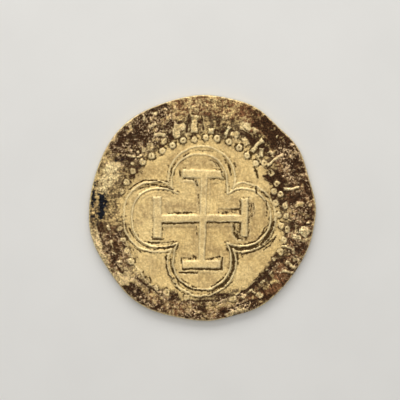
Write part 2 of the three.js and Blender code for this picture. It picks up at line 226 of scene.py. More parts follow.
# Grooves full of dark crust, and thin dark lines beside the device, mostly along its lower sides, which paint
# shade there together with dirt: width, how dark, then points, by clock angle and distance for the grooves,
# and in X and Y for the lines, about the die's centre.
GROOVES = (
    (0.34, 1.1, (119, 10.3), (132, 10.1), (145, 10.05), (156, 10.2)),
    (0.26, 1.1, (142, 11.95), (150, 11.45), (157, 11.2), (163, 11.4), (171, 11.7)),
    (0.24, 0.8, (160, 9.75), (170, 10), (180, 9.85), (190, 10.05)),
    (0.2, 0.9, (203, 10.5), (214, 10.4), (228, 10.65)), (0.26, 1, (236, 11.45), (250, 11.95), (266, 12.6)),
    (0.22, 0.8, (74.5, 12.9), (76, 11.6), (78, 10.6)), (0.2, 0.9, (93, 11), (94.2, 12.9)),
    (0.24, 0.9, (103.5, 10.6), (104.5, 13)), (0.2, 0.9, (111, 11), (113, 12.9)),
    (0.2, 0.9, (119.2, 11), (120, 12.9)), (0.12, 0.8, (126, 11), (130, 12.6)),
    (0.12, 0.8, (133, 11), (136.5, 12.7)), (0.2, 1, (140.5, 10.8), (141.5, 12.4)),
    (0.16, 0.6, (18, 11.1), (26, 11.55), (34, 10.9)), (0.2, 0.7, (-22, 10.6), (-20.5, 11.9), (-17, 12.3)),
    (0.24, 0.8, (-33, 11), (-34.5, 12.2), (-30, 13)), (0.2, 0.6, (-10, 10.5), (-7.5, 12.3)),
    (0.2, 0.6, (0.5, 10.6), (-0.5, 12.3)),
)
SHADE_AND_DIRT_LINES = (
    (0.13, 1.1, (-8.7, 3.45), (-7.9, 4.1), (-6.85, 4.58), (-5.65, 4.54), (-4.9, 4.3)),
    (0.3, 0.62, (-6.7, 4), (-6.1, 4.05), (-5.1, 3.9)), (0.13, 0.9, (-4.8, 3.82), (-3.5, 3.45)),
    (0.13, 0.8, (-2.3, 7.4), (-1.6, 7.8)), (0.16, 0.6, (-0.9, 8.1), (0.4, 8.1), (1.2, 7.95)),
    (0.17, 1, (-2.7, 5.7), (-2.68, 4.95)),
    (0.16, 0.9, (-2.3, 4.77), (-1.15, 4.66), (-0.85, 4.5), (-0.62, 3.9)),
    (0.1, 0.8, (-4.1, 0.58), (-1.6, 0.6)), (0.17, 1.1, (-4.85, -0.62), (-2.6, -0.55), (-0.45, -0.52)),
    (0.16, 0.9, (0.55, -0.5), (2.4, -0.46), (4.5, -0.5)),
    (0.17, 1, (-6, -2.2), (-5.9, -2.45), (-4.7, -2.45)), (0.15, 0.9, (-6.5, -2.82), (-5.1, -2.82)),
    (0.13, 0.9, (-4.9, -2.9), (-3.4, -2.74)), (0.26, 0.9, (-5.2, -3.5), (-4.2, -3.52), (-3.7, -3.4)),
    (0.13, 0.9, (-8.8, -1), (-8.2, -2.2), (-7.2, -3.15), (-6.2, -3.55)),
    (0.13, 0.7, (-8.9, -2.5), (-8, -3.5), (-7.3, -3.95)),
    (0.2, 1.1, (-2.35, -6.02), (0, -6.05), (2.15, -6.08)),
    (0.14, 0.9, (-2.8, -6.38), (-1.6, -6.44), (-0.55, -6.42)), (0.15, 0.9, (-2.52, -4.7), (-2.52, -5.35)),
    (0.15, 0.9, (2.28, -5.1), (2.3, -6.05)), (0.17, 0.7, (0.9, -4.78), (1.6, -4.66), (2.1, -4.55)),
    (0.2, 0.7, (-1.1, -4.4), (-0.75, -4.75)),
    (0.17, 1.1, (3.7, -0.8), (3.75, -1.7), (4.15, -2.35), (4.7, -2.45)),
    (0.5, 0.42, (4.3, -0.7), (4.3, -1.9)), (0.14, 0.8, (4.5, 2.35), (4.48, 0.6)),
    (0.28, 0.5, (5.8, 1.7), (5.85, 0)), (0.3, 0.5, (2, 0.72), (3.2, 0.8), (4.4, 0.95)),
    (0.12, 0.9, (3.4, 1.12), (4.4, 1.1)), (0.13, 0.7, (7.55, 2.2), (7.7, 1.2), (7.62, 0.2)),
    (0.15, 0.8, (7.5, -1), (7.1, -1.9), (6.5, -2.5)),
    (0.3, 0.85, (8.5, -0.4), (8.1, -1.8), (7.1, -3), (5.8, -3.55), (4.4, -3.62), (3.5, -3.4)),
    (0.13, 0.9, (8.8, -2.1), (8.1, -3.1), (7.3, -3.75)),
    (0.34, 0.95, (3.68, -4.6), (3.72, -5.6), (3.5, -6.4), (3.05, -7.3), (2.4, -8)),
    (0.15, 0.9, (2.3, -8.1), (1.2, -8.55), (0, -8.65), (-1.1, -8.45)),
    (0.2, 0.95, (-3.78, -4.8), (-3.72, -5.7), (-3.4, -6.6), (-2.8, -7.5), (-1.9, -8.2), (-0.6, -8.6)),
    (0.13, 0.9, (-4.25, -4.4), (-4.3, -5.4), (-4.1, -6.6)),
    (0.13, 0.7, (1, 7), (1.9, 6.5), (2.25, 5.8), (2.4, 5)),
    (0.24, 0.7, (2.65, 7), (3.24, 6.07), (3.4, 5.2)), (0.12, 0.6, (3.8, 6.6), (3.95, 6.1)),
    (0.24, 0.9, (7.1, 3.2), (7.9, 2.4)), (0.12, 0.7, (-4.2, 4.4), (-3.75, 3.5), (-3.45, 3)),
    (0.2, 0.75, (-7.6, 3.5), (-6.6, 3.8), (-5.8, 4), (-5, 3.8)), (0.13, 0.45, (-0.46, 2.9), (-0.42, 1.2)),
    (0.12, 0.7, (-0.66, -1), (-0.64, -2)), (0.12, 0.85, (-4.1, 0.75), (-0.8, 0.7)),
    (0.2, 0.5, (-2.3, -4.7), (-1, -4.75)),
    (0.22, 0.75, (-4.35, -4.5), (-4.35, -5.6), (-4, -6.7), (-3.2, -7.8)),
    (0.26, 0.9, (6.2, 6.1), (6.6, 4.9)), (0.24, 1, (7.9, 6), (8.2, 5.4)), (0.16, 1, (6.4, 3.75), (6.42, 3)),
    (0.13, 0.9, (8.3, -2.5), (7.4, -3.3), (6.2, -3.95), (5, -4.2)),
)
GROOVE_DEPTH = {"umber": 0.05, "hollow": 0.025}
# Soft brown tarnish beside the device, in the same way as the lines.
STAINS = (
    (1, 0.8, (-4.3, 1.4), (-0.7, 1.4)), (0.5, 0.7, (-0.6, 4.2), (-0.55, 1.2)),
    (0.6, 0.6, (-2, 4.5), (-1, 4.3)), (1.1, 0.75, (-2.4, 6.6), (1.6, 6.8)),
    (0.7, 0.7, (-7.2, 1.3), (-6.8, 0.2)), (0.5, 0.8, (-7.8, -0.4), (-7.2, -0.5)),
    (0.7, 0.4, (-8, 2.6), (-8.4, 0.5)), (0.6, 0.8, (-2.4, -4.4), (-0.9, -4.4)),
    (0.6, 0.7, (-0.9, -1), (-0.9, -3.6)), (0.6, 0.7, (-4.4, -0.9), (-0.8, -0.9)),
    (0.8, 0.4, (-1.4, -3), (-2.6, -3.6)), (0.9, 0.75, (0.6, -0.9), (3.4, -0.9)),
    (0.8, 0.55, (2.9, -1), (3.6, -3)), (0.9, 0.75, (0.7, -3.7), (2.6, -4.1)),
    (0.5, 0.8, (1.9, 0.9), (4.3, 0.9)), (0.7, 0.7, (3.7, 2.4), (4.2, 1.2)),
    (1, 0.35, (1.2, 3.2), (2.8, 2.2)), (0.7, 0.7, (5.9, 1.8), (6, -1.4)),
    (0.6, 0.7, (7.3, 1.8), (7.5, -0.6)), (0.7, 0.7, (4.2, -2.5), (6.6, -2.2)),
    (1, 0.5, (-3.4, 7.2), (-5.2, 5.6), (-7.4, 5.2)), (0.8, 0.3, (-2.6, -6.9), (0, -7.3)),
    (0.4, 0.6, (3.9, 7), (4.4, 5.4)),
)
# The least crust in the border, then bright gold specks on it, painted lighter as glints, and places where
# its gold is clean, as patches.
BORDER_SPECKS = {"umber": 0.12, "grime": 0.27}
GOLD_SPECK_AND_GLINT_PATCHES = (
    (46, 70, 11, RIM, 0.24), (70, 128, 10.4, RIM, 0.14), (150, 262, 10, RIM, 0.18),
    (300, 345, 10.4, RIM, 0.14),
)
CLEAR = (
    (284, 304, 11.6, 12.9, 0.9), (23, 33, 11.9, 12.7, 0.8), (95, 103, 10.9, 12.8, 0.9),
    (236, 266, 12.3, RIM, 0.6), (40, 47, 9.2, 10.2, 0.7), (350, 366, 12.4, 14, 0.3),
    (20, 30, 9.9, 10.9, 0.6), (154, 172, 12, RIM, 0.3), (308, 326, 13.9, RIM, 0.3),
    (228, 240, 10.9, RIM, 0.5), (340, 352, 10.3, 11.4, 0.5),
)
MASKS = ("hollow", "edge", "grit", *CRUST, "clear", "flecks", "stain")

# The layers of the finish from the gold up, the first of dirt with painted shade and the last of gold specks
# painted as glints: lump size in millimetres, strength of the film, paler lumps.
CRUST_LAYERS = (
    ("hollow", 0.3, 0.5, 0.8), ("grime", 0.42, 0.45, 1), ("rust", 0.42, 0.5, 1.3),
    ("umber", 0.36, 0.35, 2), ("soot", 0.42, 0.3, 1.6), ("flecks", 0.26, 0, 0.3),
)

# A crust's lumps: the noise above which they lie, less some for its density, how soft the edges of the
# lumps and of the film round them are, and how much finer the tones in the lumps are, with their edges.
CRUST_NOISE = {"bare": 0.6, "by_density": 0.21, "lumps": (-0.012, 0.012), "film": (-0.09, 0.01)}
CRUST_TONES = {"finer": 2.3, "edges": (0.42, 0.62)}
# Uneven patches of the finish: size in millimetres, detail, and where in the noise they begin and end.
MOTTLES = {
    "broad": (5, 5, 0.35, 0.65), "fine": (0.4, 5, 0.35, 0.65), "clouds": (2.4, 4, 0.48, 0.66),
    "broken": (0.4, 5, 0.2, 0.62), "pits": (0.24, 6, 0.5, 0.6), "specks": (0.18, 2, 0.36, 0.64),
    "grain": (0.22, 6, 0.2, 0.8), "floor": (12, 3, 0.3, 0.7),
}
# How strongly each thing shows on the gold.
SHOWS = {"clouds": 0.4, "stain": 0.9, "scratches": 0.22, "clear": 0.4, "pits": 0.55, "edge": 0.45}
# Strength of the speckled shade and of the grain's bump: in the middle, and how much more in the border.
SPECKLED = (0.24, 0.8)
GRAINED = (0.35, 0.65)
GRAIN_BUMP = {"strength": 0.6, "depth": 0.04}
SPECULAR = {"coin": 0.08, "floor": 0.2}
FLOOR_ROUGHNESS = 0.8

# Where the frame's lines are still sharp, and where the metal flowed along the frame in ripples, with the
# ripples' size in millimetres.
SHARP = ((88, 178, 3, 10, 1), (178, 262, 3, 10, 0.7), (12, 60, 3, 10, 0.3), (290, 335, 3, 10, 0.15))
RIPPLED = ((200, 335, 4, 10, 1), (60, 120, 4, 9, 0.6), (120, 200, 4, 9, 0.4), (335, 420, 5, 9, 0.4))
RIPPLES = {"height": 0.018, "spacing": 0.4, "reach": 1.1}

# Which way the fine scratches run, in degrees from upright, how they are drawn out, and where they show.
SCRATCH_TURNS = (4, -38, 75)
SCRATCHED = {"stretch": (1, 0.09, 1), "edges": (0.54, 0.66)}

# How much dirt lies along the relief, which also strengthens the shade painted below the relief: clock angle
# and distance about the die's centre, then how much.
DIRT = (
    (92, 172, 3.5, 9.1, 0.9), (172, 215, 5, 9.4, 0.5), (215, 262, 3.5, 9.5, 0.5), (262, 300, 6, 9.5, 0.3),
    (300, 330, 4, 9.5, 0.6), (12, 48, 4, 8.6, 0.4), (48, 92, 4.5, 9.3, 0.45), (330, 372, 6, 9, 0.25),
    (20, 264, 9, RIM, 1), (264, 300, 9, RIM, 0.6), (300, 350, 9, RIM, 1), (350, 380, 9, RIM, 0.85),
)
CLEAN_DIRT = 0.1
# Hollows, and high edges rubbed bright and given a painted highlight: how far round a place its height is
# averaged, and the difference that counts.
NARROW_HOLLOW = (0.14, 0.022)
WIDE_HOLLOW = (0.4, 0.06)
RUBBED_AND_HIGHLIT_EDGE = (0.11, 0.022)
# The side below the relief, where shade is painted: how many cells up it looks, and the least step and the
# range that count.
SHADE_BELOW = {"cells": 2, "least": 0.02, "range": 0.05}
# How much each part adds to the dirt and painted shade: the wide low places by their dirt, the side below the
# relief as painted shade everywhere and more where there is dirt, and the faint part of all that stays clean.
HOLLOW_SHARES = {"wide": 0.45, "below": 0.12, "shade_below_where_dirty": 0.4, "faint": 0.15}
# How bright wear leaves raised work, and the height at which it is in full.
WORN_BRIGHT = {"middle": 0.36, "border": 0.22, "height": 0.1}
# Crust lies less on raised work: by what share, and the height that counts as raised on each face.
RAISED_CLEAN = 0.9
RAISED = {"upper": 0.06, "under": 0.09}

# Lumps that make things uneven: size in millimetres, then strength.
UNEVEN = {
    "warp": (1.3, 0.22), "crust": (1.1, 0.15), "grit": (1.6, 0.25), "dirt": (0.9, 0.25),
    "frame": (1.2, 0.12), "wear": (2.2, 0.07),
}
# The waves that bend the field: size, how many sets of lumps they have, and their share of the height.
WAVES = ((4.5, 2, 0.8), (0.9, 3, 0.3))
# The border's grain: size, and how much it breaks up the crust, the clean places and the gold specks painted
# as glints.
GRAIN = {"size": 0.5, "crust": 0.3, "clear": 0.3, "flecks": 0.7}

# The underside's device, from its centre, with X to the right as it is read.
SHIELD_CENTRE = (0.25, -0.6)
SHIELD = {"half": 3.5, "top": 3.9, "shoulder": -0.9, "belly": -3.4, "point": -4.7, "line": 0.5, "gap": 0.55}
CROWN = {"base": 4.6, "height": 1.6, "half": 3.2, "band": 0.6, "points": 3}
UNDER_BEADS = {"centre": (0.2, -0.1), "count": 40, "radius": 9.7}
UNDER_CRUST = 0.7
UNDER_STAIN = {"strength": 0.6, "reach": 0.6, "heights": (0.03, 0.1)}
# Its border: the band, the strokes in order with _ for a gap, and each stroke across and up the band.
UNDER_BAND = (10.5, 12.3)
UNDER_ROW = "|_/_-__|._" "\\__|__-_|_" "_/_._|__\\_" "|__-__|_._" "_|__/__|__"
UNDER_STROKE_WIDTH = 0.36
UNDER_STROKES = {
    "|": ((0, 0.05), (0, 1)),
    "/": ((-0.28, 0.05), (0.28, 1)),
    "\\": ((0.28, 0.05), (-0.28, 1)),
    "-": ((-0.35, 0.92), (0.35, 0.92)),
    ".": ((-0.02, 0.2), (0.02, 0.2)),
}

PLATE_LINE = np.arange(-PLATE_HALF, PLATE_HALF + CELL / 2, CELL)
PLATE_X, PLATE_Y = np.meshgrid(PLATE_LINE, PLATE_LINE)
EVERYWHERE = (slice(None), slice(None))


def srgb(red, green, blue):
    """A colour given in 0 to 255 on screen, as Blender's linear colour with alpha."""
    shares = (value / 255 for value in (red, green, blue))
    linear = (s / 12.92 if s <= 0.04045 else ((s + 0.055) / 1.055) ** 2.4 for s in shares)
    return (*linear, 1.0)


def length_property(name, description, millimetres):
    return bpy.props.FloatProperty(
        name=name, description=description, default=millimetres * MM, min=0, precision=5, unit="LENGTH"
    )


def colour_property(name, description, *screen):
    return bpy.props.FloatVectorProperty(
        name=name, description=description, default=srgb(*screen), size=4, min=0, max=1, subtype="COLOR"
    )


def share_property(name, description, share):
    return bpy.props.FloatProperty(
        name=name, description=description, default=share, min=0, max=1, subtype="FACTOR"
    )


def power_property(name, description, watts):
    return bpy.props.FloatProperty(name=name, description=description, default=watts, min=0, unit="POWER")


class CoinRelief(bpy.types.PropertyGroup):
    """Heights of the struck relief over its field, as wear has left them."""

    cross: length_property("Cross", "Height of the cross over the field", 0.095)
    frame: length_property("Frame", "Height of the two lines round the cross", 0.12)
    frame_width: length_property("Frame line", "Width of each of the two lines", 0.17)
    beads: length_property("Beads", "Height of the beads", 0.11)
    bead_radius: length_property("Bead radius", "Radius of a bead", 0.42)
    strokes: length_property("Strokes", "Height of the border's strokes", 0.12)
    underside: length_property("Underside", "Height of the relief on the underside", 0.18)
    waves: length_property("Waves", "How far hammering and wear bend the field", 0.022)
    grit: length_property("Grit", "Height of the roughness in the border", 0.03)


class CoinFinish(bpy.types.PropertyGroup):
    """Colours and gloss of the worn gold and of what sticks to it, and the colours that paint shade,
    highlights and glints on it.
    """

    gold: colour_property("Gold", "Clean worn gold", 234, 204, 140)
    dull_gold: colour_property("Dull gold", "Gold under a thin tarnish", 208, 177, 116)
    stain: colour_property("Stain", "Gold under a thicker, browner tarnish", 160, 131, 88)
    # This colour paints gold rubbed bright by wear, and also the painted highlight on the high edges and the
    # rim.
    edge: colour_property("Rubbed edge and highlight", "Gold on the high edges", 250, 234, 186)
    pit: colour_property("Pits", "Small pits in the border's gold", 126, 96, 62)
    # This colour paints dirt at the foot of the relief, and painted shade on the side below it and along the
    # dark lines beside the device.
    hollow: colour_property("Dirt and painted shade", "Dirt at the foot of the relief, and shade painted below it", 64, 46, 20)
    grime: colour_property("Grime", "Brown film in the border", 98, 80, 54)
    rust: colour_property("Rusty crust", "Red-brown crust", 100, 67, 42)
    umber: colour_property("Dark crust", "Dark brown crust", 44, 27, 13)
    soot: colour_property("Black crust", "Blue-black crust", 17, 18, 22)
    # This colour paints bright gold specks on the crust, lightened as painted glints.
    flecks: colour_property("Flecks", "Bright gold specks on the crust, lightened as glints", 208, 178, 136)
    gold_roughness: share_property("Gold roughness", "How matt the gold is", 0.46)
    crust_roughness: share_property("Crust roughness", "How matt the crust is", 0.66)


class CoinStage(bpy.types.PropertyGroup):
    """The floor, the lights and the camera."""

    floor: colour_property("Floor", "Colour of the plain floor", 226, 224, 219)
    key_power: power_property("Key light", "Power of the light over the top of the coin", 1.05)
    fill_power: power_property("Fill light", "Power of the light straight above", 0.46)
    sky: share_property("Sky", "Strength of the light from all round", 0.35)
    camera_height: length_property("Camera height", "Distance from the coin to the camera", 250)


def blur(field, spread):
    """A raster averaged over about `spread` millimetres each way."""
    across = np.fft.rfftfreq(field.shape[1], CELL)
    down = np.fft.fftfreq(field.shape[0], CELL)
    keep = np.exp(-2 * (np.pi * spread) ** 2 * (down[:, None] ** 2 + across[None, :] ** 2))
    return np.fft.irfft2(np.fft.rfft2(field) * keep, s=field.shape)


def lumps(rng, size, octaves=3):
    """Random lumps about `size` millimetres across, with finer ones on them, of spread 1 about 0."""
    total = np.zeros_like(PLATE_X)
    for octave in range(octaves):
        layer = blur(rng.standard_normal(PLATE_X.shape), size / 2.5 / 2**octave)
        total += layer / layer.std() / 2**octave
    return total / total.std()


def uneven(rng, kind):
    size, strength = UNEVEN[kind]
    return strength * lumps(rng, size)


def eased(low, high, value):
    """0 below low, 1 above high, with an eased step between them."""
    share = np.clip((value - low) / (high - low), 0, 1)
    return share * share * (3 - 2 * share)


def by_border(amounts, outward):
    """An amount that changes from the middle to the border."""
    return amounts["middle"] + (amounts["border"] - amounts["middle"]) * outward


def bell(value, width):
    """1 where the value is 0, fading out over a width to each side."""
    return np.exp(-((value / width) ** 2))


def on_clock(centre, angle, radius):
    turn = math.radians(angle)
    return (centre[0] + radius * math.sin(turn), centre[1] + radius * math.cos(turn))


def clock_path(places):
    """Points by clock angle and distance about the die's centre, in the coin's X and Y."""
    return [on_clock(DIE_CENTRE, *place) for place in places]


def die_clock(x, y):
    """Clock angle in degrees, and distance, about the die's centre."""
    across, up = x - DIE_CENTRE[0], y - DIE_CENTRE[1]
    return np.degrees(np.arctan2(across, up)), np.hypot(across, up)


def window(points, margin):
    """The part of the raster within a margin of some points."""
    points = np.asarray(points)
    low = np.floor((points.min(0) - margin + PLATE_HALF) / CELL).astype(int).clip(0)
    high = np.ceil((points.max(0) + margin + PLATE_HALF) / CELL).astype(int) + 1
    return slice(low[1], high[1]), slice(low[0], high[0])


def path_distance(x, y, path):
    """Distance from a line through points."""
    nearest = np.full_like(x, np.inf)
    for (ax, ay), (bx, by) in zip(path, path[1:]):
        dx, dy = bx - ax, by - ay
        along = np.clip(((x - ax) * dx + (y - ay) * dy) / (dx * dx + dy * dy), 0, 1)
        nearest = np.minimum(nearest, np.hypot(x - ax - along * dx, y - ay - along * dy))
    return nearest


def bar_distance(x, y, start, end, width):
    """Distance outside a square-ended bar, below 0 inside it."""
    length = math.dist(start, end)
    dx, dy = (end[0] - start[0]) / length, (end[1] - start[1]) / length
    along = np.abs((x - start[0]) * dx + (y - start[1]) * dy - length / 2) - length / 2
    across = np.abs((y - start[1]) * dx - (x - start[0]) * dy) - width / 2
    outside = np.hypot(np.maximum(along, 0), np.maximum(across, 0))
    return outside + np.minimum(np.maximum(along, across), 0)


def outline_distance(x, y, outline):
    """Distance outside a closed outline, below 0 inside it."""
    closed = [*outline, outline[0]]
    inside = np.zeros(x.shape, bool)
    for (ax, ay), (bx, by) in zip(closed, closed[1:]):
        if ay != by:
            inside ^= ((ay > y) != (by > y)) & (x < (bx - ax) * (y - ay) / (by - ay) + ax)
    return np.where(inside, -1, 1) * path_distance(x, y, closed)


class Plate:
    """One face as it is struck: its heights over the field, rings of dirt, and places shifted by wear."""

    def __init__(self, rng):
        self.height, self.rings = np.zeros_like(PLATE_X), np.zeros_like(PLATE_X)
        sway = by_border(RAGGED, eased(*BORDER["ragged"], np.hypot(PLATE_X, PLATE_Y)))
        self.x = PLATE_X + sway * lumps(rng, RAGGED["size"], 2)
        self.y = PLATE_Y + sway * lumps(rng, RAGGED["size"], 2)

    def raise_to(self, area, distance, top, side):
        """Raises an area to a height where distance is below 0, with sides that lean over `side` mm."""
        shape = top * eased(side / 2, -side / 2, distance)
        self.height[area] = np.maximum(self.height[area], shape)

    def bar(self, start, end, width, top, side=SIDES["bar"]):
        area = window((start, end), width + side)
        distance = bar_distance(self.x[area], self.y[area], start, end, width)
        self.raise_to(area, distance, top, side)

    def line(self, path, width, top, side=SIDES["line"]):
        """A line through points, with a height that may change over the plate."""
        area = window(path, width + side)
        distance = path_distance(self.x[area], self.y[area], path) - width / 2
        top = top[area] if isinstance(top, np.ndarray) else top
        self.raise_to(area, distance, top, side)

    def stroke(self, path, width, top):
        """A square-ended bar between two points, or a line through more."""
        if len(path) == 2:
            self.bar(*path, width, top)
        else:
            self.line(path, width, top)

    def cut(self, path, width, depth):
        area = window(path, 2 * width)
        distance = path_distance(self.x[area], self.y[area], path)
        self.height[area] -= depth * eased(width * 0.75, 0, distance)

    def bead(self, place, radius, top):
        """A low dome whose crown is pressed in a little, with a ring of dirt round it."""
        area = window((place,), radius * 1.6)
        away = np.hypot(self.x[area] - place[0], self.y[area] - place[1]) / radius
        dome = np.sqrt(np.clip(1 - away**3, 0, 1))
        crown = 1 - BEAD_DISH["depth"] * bell(away, BEAD_DISH["width"])
        ring = bell(away - BEAD_DIRT["radius"], BEAD_DIRT["width"])
        self.height[area] = np.maximum(self.height[area], top * dome * crown)
        self.rings[area] = np.maximum(self.rings[area], ring)


def lobe(reach, clockwise, anticlockwise, cusp, fullness):
    """One lobe along +X: a drawn-in side, about half a round, and the other side."""
    radius = (clockwise + anticlockwise) / 2
    middle = (reach - radius, (anticlockwise - clockwise) / 2)
    neck = cusp + LOBE_NECK["out"] * (middle[0] - cusp)
    points = [(cusp, -cusp), (neck, -cusp + LOBE_NECK["in"] * (cusp - clockwise))]
    for step in range(LOBE_STEPS + 1):
        turn = math.pi * (step / LOBE_STEPS - 0.5)
        out, side = math.cos(turn), math.sin(turn)
        side = math.copysign(abs(side) ** fullness, side)
        points.append((middle[0] + radius * max(out, 0) ** fullness, middle[1] + radius * side))
    points.append((neck, cusp + LOBE_NECK["in"] * (anticlockwise - cusp)))
    return np.array(points)


def four_lobes(cusp, lobes):
    """The closed line of a frame, about the die's centre."""
    quarters = []
    for quarter, (sizes, fullness) in enumerate(zip(lobes, LOBE_FULLNESS)):
        turn = quarter * math.pi / 2
        spin = np.array(((math.cos(turn), math.sin(turn)), (-math.sin(turn), math.cos(turn))))
        quarters.append(lobe(*sizes, cusp, fullness) @ spin)
    return np.concatenate((*quarters, quarters[0][:1])) + DIE_CENTRE


def roughen(height, rng, waves):
    """Wear, hammer waves and dents over a whole face, in millimetres."""
    height *= 1 - UNEVEN["wear"][1] + uneven(rng, "wear")
    for size, octaves, share in WAVES:
        height += waves * share * lumps(rng, size, octaves)
    return height


def patch_density(clock, radius, patches):
    """How thick something lies, from patches by clock angle and radius with soft ends."""
    thick = np.zeros_like(clock)
    for start, end, inner, outer, strength in patches:
        half = (end - start) / 2
        away = np.abs((clock - start - half + 180) % 360 - 180) - half
        band = eased(inner - 0.3, inner + 0.3, radius) * eased(outer + 0.3, outer - 0.3, radius)
        thick = np.maximum(thick, strength * eased(3, -3, away) * band)
    return thick


def lowness(height, reach, full):
    """How far a place lies below the average within `reach` mm of it: 1 for `full` mm or more."""
    return np.clip((blur(height, reach) - height) / full, 0, 1)


def foot_and_edge(height, dirt):
    """Two masks: dirt in low places, with shade painted on the side below the relief, and high edges
    rubbed bright with a painted highlight.
    """
    narrow, wide = lowness(height, *NARROW_HOLLOW), lowness(height, *WIDE_HOLLOW)
    # Painted shade: darker on the side just below each raised step.
    step = np.roll(height, -SHADE_BELOW["cells"], axis=0) - height
    below = np.clip((step - SHADE_BELOW["least"]) / SHADE_BELOW["range"], 0, 1)
    shares = HOLLOW_SHARES
    hollow = dirt * (narrow + shares["wide"] * wide + shares["shade_below_where_dirty"] * below) + shares["below"] * below
    hollow = np.clip((1 + shares["faint"]) * hollow - shares["faint"], 0, 1)
    return hollow, lowness(-height, *RUBBED_AND_HIGHLIT_EDGE)


def crust_masks(rng, raised):
    """How thick each crust lies, less on high grains and raised work, the dirt, and the border's grain."""
    warp_x, warp_y = (uneven(rng, "warp") for _ in range(2))
    clock, radius = die_clock(PLATE_X + warp_x, PLATE_Y + warp_y)
    grain = lumps(rng, GRAIN["size"])
    masks = {}
    border = eased(*BORDER["specks"], radius)
    for kind, patches in CRUST.items():
        broken = 1 + uneven(rng, "crust") - GRAIN["crust"] * grain
        thick = np.maximum(patch_density(clock, radius, patches), BORDER_SPECKS.get(kind, 0) * border)
        masks[kind] = np.clip(thick * broken, 0, 1.2) * (1 - RAISED_CLEAN * raised)
    masks["clear"] = patch_density(clock, radius, CLEAR) * np.clip(1 + GRAIN["clear"] * grain, 0, 1)
    for kind in CRUST:
        masks[kind] *= 1 - masks["clear"]
    masks["flecks"] = patch_density(clock, radius, GOLD_SPECK_AND_GLINT_PATCHES) * np.clip(1 + GRAIN["flecks"] * grain, 0, 2)
    masks["grit"] = eased(*BORDER["grit"], radius) * np.clip(0.75 + uneven(rng, "grit"), 0.3, 1)
    dirt = CLEAN_DIRT + patch_density(clock, radius, DIRT) * (0.75 + uneven(rng, "dirt"))
    return masks, np.clip(dirt, 0, 1), grain


def cross_face(relief, rng):
    """The upper face: its heights over the field, and its masks."""
    plate = Plate(rng)
    cross, line, strokes = (size / MM for size in (relief.cross, relief.frame_width, relief.strokes))
    clock, radius = die_clock(PLATE_X, PLATE_Y)
    for start, end, width in CROSS_BARS:
        first = np.add((start, end), DIE_CENTRE) + FIRST_STRIKE["offset"]
        plate.bar(*first, width, cross * FIRST_STRIKE["share"])
    kept = (0.6 + 0.4 * patch_density(clock, radius, SHARP)) * (1 + uneven(rng, "frame"))
    for cusp, lobes in FRAME_LINES:
        plate.line(four_lobes(cusp, lobes), line, relief.frame / MM * kept, SIDES["frame"])
    for start, end, width in CROSS_BARS:
        plate.bar(*np.add((start, end), DIE_CENTRE), width, cross, SIDES["cross"])
    for angle, distance, left in BEADS:
        size = relief.bead_radius / MM * (BEAD_LEAST + (1 - BEAD_LEAST) * left)
        plate.bead(on_clock(BEAD_CENTRE, angle, distance), size, relief.beads / MM * left)
    for width, share, *places in STROKES:
        plate.stroke(clock_path(places), width, strokes * share)
    for width, rise, *path in MARKS:
        if rise > 0:
            plate.line(path, width, rise)
        else:
            plate.cut(path, width, -rise)
    away = path_distance(plate.x, plate.y, four_lobes(*FRAME_LINES[0]))
    flow = patch_density(clock, radius, RIPPLED) * bell(away, RIPPLES["reach"])
    ripples = RIPPLES["height"] * flow * np.cos(2 * np.pi * away / RIPPLES["spacing"])
    masks, dirt, grain = crust_masks(rng, np.clip(plate.height / RAISED["upper"], 0, 1))
    masks["hollow"], masks["stain"] = np.zeros_like(PLATE_X), np.zeros_like(PLATE_X)
    lines = [("umber", width, dark, clock_path(places)) for width, dark, *places in GROOVES]
    # The dark lines paint the shade along the device's lower sides together with dirt.
    lines += [("hollow", width, dark, np.add(path, DIE_CENTRE)) for width, dark, *path in SHADE_AND_DIRT_LINES]
    for kind, width, dark, path in lines:
        area = window(path, 2 * width)
        groove = eased(width * 0.8, width * 0.2, path_distance(plate.x[area], plate.y[area], path))
        plate.height[area] -= GROOVE_DEPTH[kind] * groove
        masks[kind][area] = np.maximum(masks[kind][area], dark * groove)
    for width, strength, *path in STAINS:
        away = path_distance(plate.x, plate.y, np.add(path, DIE_CENTRE))
        masks["stain"] = np.maximum(masks["stain"], strength * eased(width, width * 0.1, away))
    height = roughen(plate.height, rng, relief.waves / MM)
    feet, masks["edge"] = foot_and_edge(height, dirt)
    ringed = BEAD_DIRT["strength"] * plate.rings * (height < BEAD_DIRT["below"]) * np.clip(1.3 * dirt, 0, 1)
    masks["hollow"] = np.maximum(np.maximum(masks["hollow"], feet), ringed)
    bright = by_border(WORN_BRIGHT, eased(*BORDER["rubbed"], radius))
    bright *= np.clip(height / WORN_BRIGHT["height"], 0, 1)
    masks["clear"] = np.maximum(masks["clear"], bright)
    return height + ripples + relief.grit / MM * masks["grit"] * grain, masks


def shield_outline():
    """The shield's outline: flat top, upright sides, and two curves to its point."""
    half, shoulder, belly, point = (SHIELD[name] for name in ("half", "shoulder", "belly", "point"))
    outline = [(half, SHIELD["top"]), (-half, SHIELD["top"])]
    for t in np.linspace(0, 1, 9):
        x = -half * ((1 - t) ** 2 + 2 * t * (1 - t))
        y = shoulder * (1 - t) ** 2 + belly * 2 * t * (1 - t) + point * t**2
        outline.append((x, y))
    outline += [(-x, y) for x, y in reversed(outline[2:-1])]
    return np.add(outline, SHIELD_CENTRE)


def crown_outline():
    """The crown: a band with pointed leaves on it."""
    base, half, points = CROWN["base"], CROWN["half"], CROWN["points"]
    outline = [(-half * 0.8, base), (half * 0.8, base)]
    for i in reversed(range(points)):
        for share, rise in ((0.9, CROWN["band"]), (0.5, CROWN["height"]), (0.1, CROWN["band"])):
            outline.append((half * (2 * (i + share) / points - 1), base + rise))
    return np.add(outline, SHIELD_CENTRE)


